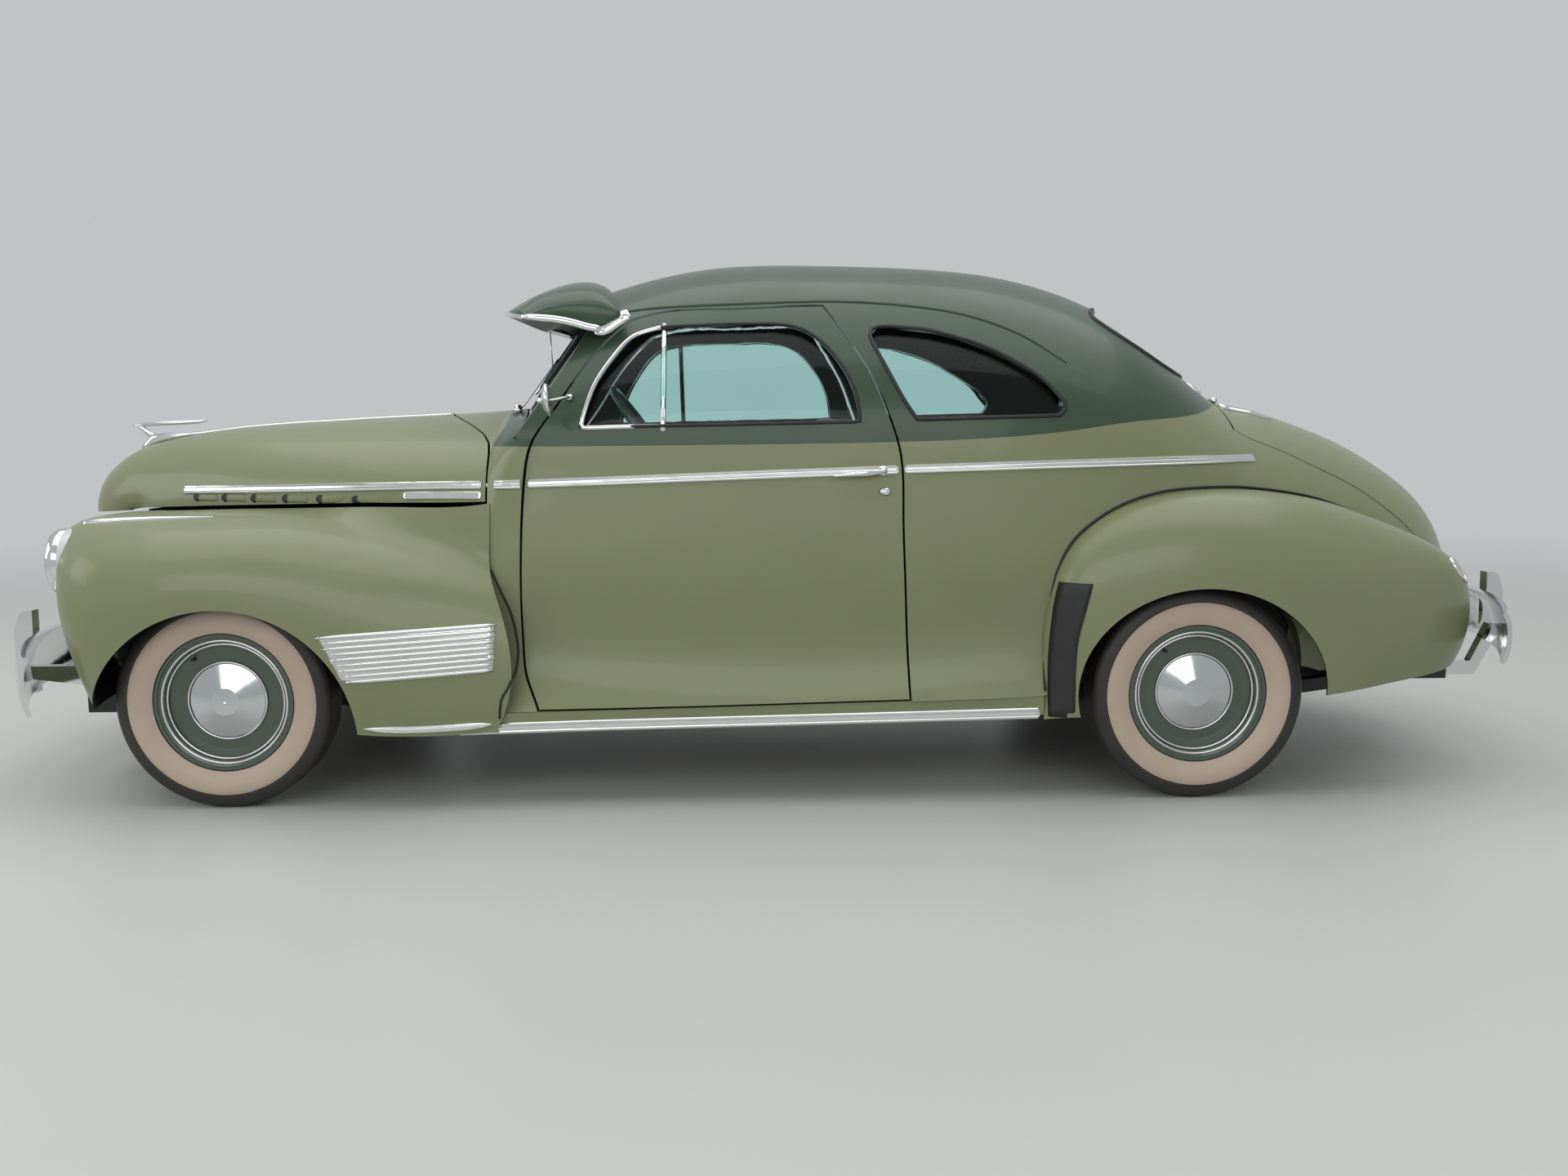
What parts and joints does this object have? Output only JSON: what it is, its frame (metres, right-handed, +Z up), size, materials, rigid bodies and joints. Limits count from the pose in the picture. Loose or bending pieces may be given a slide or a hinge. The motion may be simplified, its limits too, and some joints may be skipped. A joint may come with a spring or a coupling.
{
  "type": "coupe car",
  "caption": "Two-door pre-war style coupe with opening doors, hood and deck lid, steered front wheels and turning wheels on a separate frame.",
  "frame": {"origin": "on the floor under the middle of the whole car", "axes": "+X to the rear, +Y to the right-hand side of the car, +Z up"},
  "size_m": [4.9722, 1.845, 1.6811],
  "materials": {
    "paint_lower": "gloss",
    "paint_upper": "gloss",
    "chassis_paint": "satin",
    "bright": "polished",
    "whitewall_tyre": "matt",
    "engine_iron": "satin",
    "tinted_glass": "clear",
    "lamp_glass": "clear",
    "red_glass": "clear",
    "seat_cloth": "woven",
    "bare_steel": "brushed",
    "control_plastic": "gloss"
  },
  "bodies": {
    "car_body": {"frame": "chassis_paint", "engine": "engine_iron", "front_suspension": "chassis_paint", "rear_axle": "chassis_paint", "rear_springs": "chassis_paint", "exhaust": "bare_steel", "fuel_tank": "chassis_paint", "floor_pan": "chassis_paint", "wheel_houses": "chassis_paint", "sills": "paint_lower", "cowl": "paint_lower", "roof": "paint_upper", "quarter_left": "paint_lower", "quarter_right": "paint_lower", "tail_panel": "paint_lower", "fender_front_left": "paint_lower", "fender_front_right": "paint_lower", "fender_rear_left": "paint_lower", "fender_rear_right": "paint_lower", "fender_aprons": "chassis_paint", "radiator": "chassis_paint", "grille": "bright", "nose_panel": "paint_lower", "bumper_front": "bright", "bumper_rear": "bright", "headlamps": "lamp_glass", "tail_lamps": "red_glass", "window_glass": "tinted_glass", "sun_visor": "paint_upper", "dashboard": "paint_lower", "steering_column": "control_plastic", "seat_front": "seat_cloth", "seat_rear": "seat_cloth"},
    "hood_panel": {"hood": "paint_lower", "hood_ornament": "bright"},
    "deck": {"deck_lid": "paint_lower"},
    "left_door": {"door_left": "paint_lower", "door_glass_left": "tinted_glass"},
    "right_door": {"door_right": "paint_lower", "door_glass_right": "tinted_glass"},
    "hand_wheel": {"steering_wheel": "control_plastic"},
    "left_knuckle": {"knuckle_left": "chassis_paint"},
    "right_knuckle": {"knuckle_right": "chassis_paint"},
    "front_left_wheel": {"wheel_front_left": "paint_upper", "tyre_front_left": "whitewall_tyre"},
    "front_right_wheel": {"wheel_front_right": "paint_upper", "tyre_front_right": "whitewall_tyre"},
    "rear_left_wheel": {"wheel_rear_left": "paint_upper", "tyre_rear_left": "whitewall_tyre"},
    "rear_right_wheel": {"wheel_rear_right": "paint_upper", "tyre_rear_right": "whitewall_tyre"}
  },
  "joints": [
    {"name": "steer_left", "type": "hinge", "parent": "car_body", "child": "left_knuckle", "pos_m": [-1.648, -0.62, 0.324], "axis": [0, 0, 1], "range_deg": [-26, 26]},
    {"name": "steer_right", "type": "hinge", "parent": "car_body", "child": "right_knuckle", "pos_m": [-1.648, 0.62, 0.324], "axis": [0, 0, 1], "range_deg": [-26, 26]},
    {"name": "spin_front_left", "type": "hinge", "parent": "left_knuckle", "child": "front_left_wheel", "pos_m": [-1.648, -0.746, 0.324], "axis": [0, 1, 0], "continuous": true},
    {"name": "spin_front_right", "type": "hinge", "parent": "right_knuckle", "child": "front_right_wheel", "pos_m": [-1.648, 0.746, 0.324], "axis": [0, 1, 0], "continuous": true},
    {"name": "spin_rear_left", "type": "hinge", "parent": "car_body", "child": "rear_left_wheel", "pos_m": [1.298, -0.777, 0.324], "axis": [0, 1, 0], "continuous": true},
    {"name": "spin_rear_right", "type": "hinge", "parent": "car_body", "child": "rear_right_wheel", "pos_m": [1.298, 0.777, 0.324], "axis": [0, 1, 0], "continuous": true},
    {"name": "turn_steering_wheel", "type": "hinge", "parent": "car_body", "child": "hand_wheel", "pos_m": [-0.375, -0.38, 1.084], "axis": [0.8197, 0, 0.5728], "range_deg": [-312, 312]},
    {"name": "open_left_door", "type": "hinge", "parent": "car_body", "child": "left_door", "pos_m": [-0.723, -0.82, 0.35], "axis": [0, -0.1226, -0.9925], "range_deg": [0, 65]},
    {"name": "open_right_door", "type": "hinge", "parent": "car_body", "child": "right_door", "pos_m": [-0.723, 0.82, 0.35], "axis": [0, -0.1226, 0.9925], "range_deg": [0, 65]},
    {"name": "open_hood", "type": "hinge", "parent": "car_body", "child": "hood_panel", "pos_m": [-0.848, 0, 1.17], "axis": [0, 1, 0], "range_deg": [0, 48]},
    {"name": "open_deck_lid", "type": "hinge", "parent": "car_body", "child": "deck", "pos_m": [1.512, 0, 1.225], "axis": [0, -1, 0], "range_deg": [0, 60]}
  ],
  "couplings": [
    {"joint": "steer_right", "follows": "steer_left", "ratio": 1},
    {"joint": "turn_steering_wheel", "follows": "steer_left", "ratio": 12}
  ]
}
